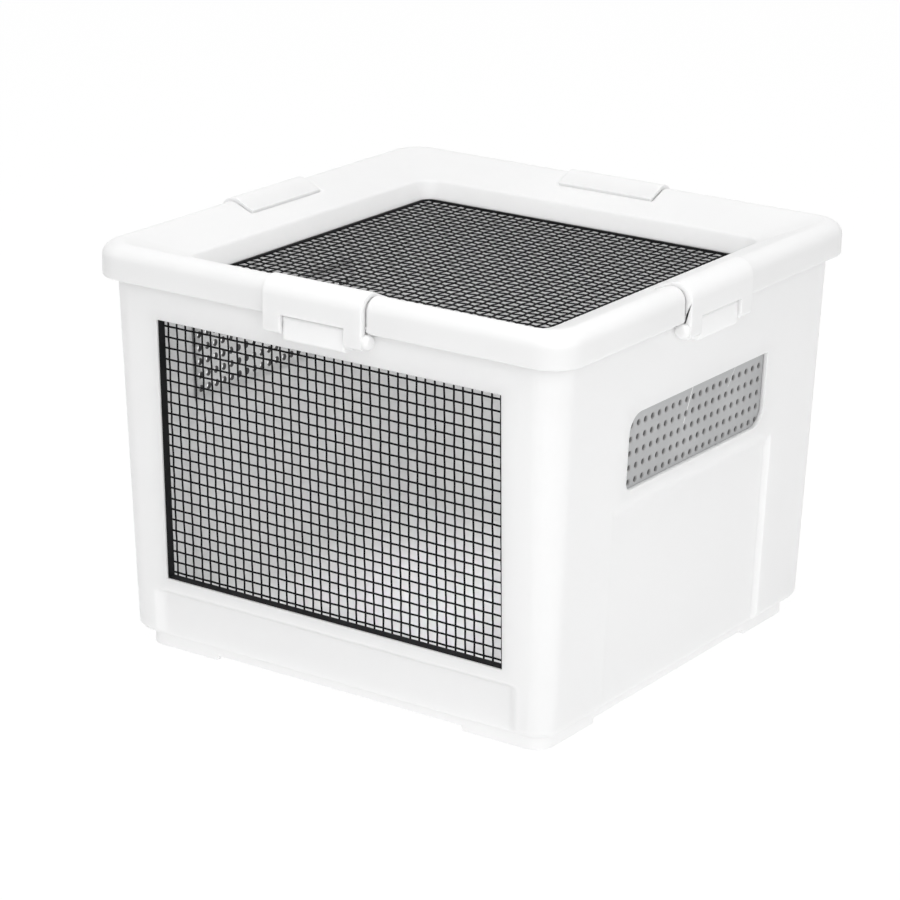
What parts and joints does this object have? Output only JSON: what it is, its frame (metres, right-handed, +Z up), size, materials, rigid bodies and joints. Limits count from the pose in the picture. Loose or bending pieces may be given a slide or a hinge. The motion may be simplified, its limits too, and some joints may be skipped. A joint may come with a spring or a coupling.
{
  "type": "mesh reptile cage",
  "caption": "Tapered plastic rearing box for small reptiles and insects, with a mesh front window, perforated side vents and a lift-off mesh lid held by hinged latches.",
  "frame": {"origin": "middle of the footprint, on the surface that the cage stands on", "axes": "+X to the right along the front, -Y out of the front window, +Z up"},
  "size_m": [0.285, 0.28, 0.215],
  "materials": {
    "white_plastic": "satin moulded polypropylene",
    "black_mesh": "black coated woven wire",
    "black_trim": "matt",
    "grey_plate": "scuffed grey sheet"
  },
  "bodies": {
    "tub": {"tub": "white_plastic", "front_mesh": "black_mesh", "front_mesh_strip_top": "black_trim", "front_mesh_strip_bottom": "black_trim", "front_mesh_strip_left": "black_trim", "front_mesh_strip_right": "black_trim", "left_vent_plate": "grey_plate", "right_vent_plate": "grey_plate", "hinge_pin_front": "white_plastic", "hinge_pin_back": "white_plastic", "hinge_pin_left": "white_plastic", "hinge_pin_right": "white_plastic"},
    "lid": {"lid": "white_plastic", "lid_mesh": "black_mesh", "lid_mesh_strip_front": "black_trim", "lid_mesh_strip_back": "black_trim", "lid_mesh_strip_left": "black_trim", "lid_mesh_strip_right": "black_trim"},
    "front_latch": {"latch_front": "white_plastic"},
    "back_latch": {"latch_back": "white_plastic"},
    "left_latch": {"latch_left": "white_plastic"},
    "right_latch": {"latch_right": "white_plastic"}
  },
  "joints": [
    {"name": "lid_lift", "type": "slide", "parent": "tub", "child": "lid", "axis": [0, 0, 1], "range_m": [0, 0.126]},
    {"name": "front_latch_swing", "type": "hinge", "parent": "tub", "child": "front_latch", "pos_m": [0, -0.136, 0.1918], "axis": [1, 0, 0], "range_deg": [0, 110]},
    {"name": "back_latch_swing", "type": "hinge", "parent": "tub", "child": "back_latch", "pos_m": [0, 0.136, 0.1918], "axis": [-1, 0, 0], "range_deg": [0, 110]},
    {"name": "left_latch_swing", "type": "hinge", "parent": "tub", "child": "left_latch", "pos_m": [-0.1385, 0, 0.1918], "axis": [0, -1, 0], "range_deg": [0, 110]},
    {"name": "right_latch_swing", "type": "hinge", "parent": "tub", "child": "right_latch", "pos_m": [0.1385, 0, 0.1918], "axis": [0, 1, 0], "range_deg": [0, 110]}
  ]
}
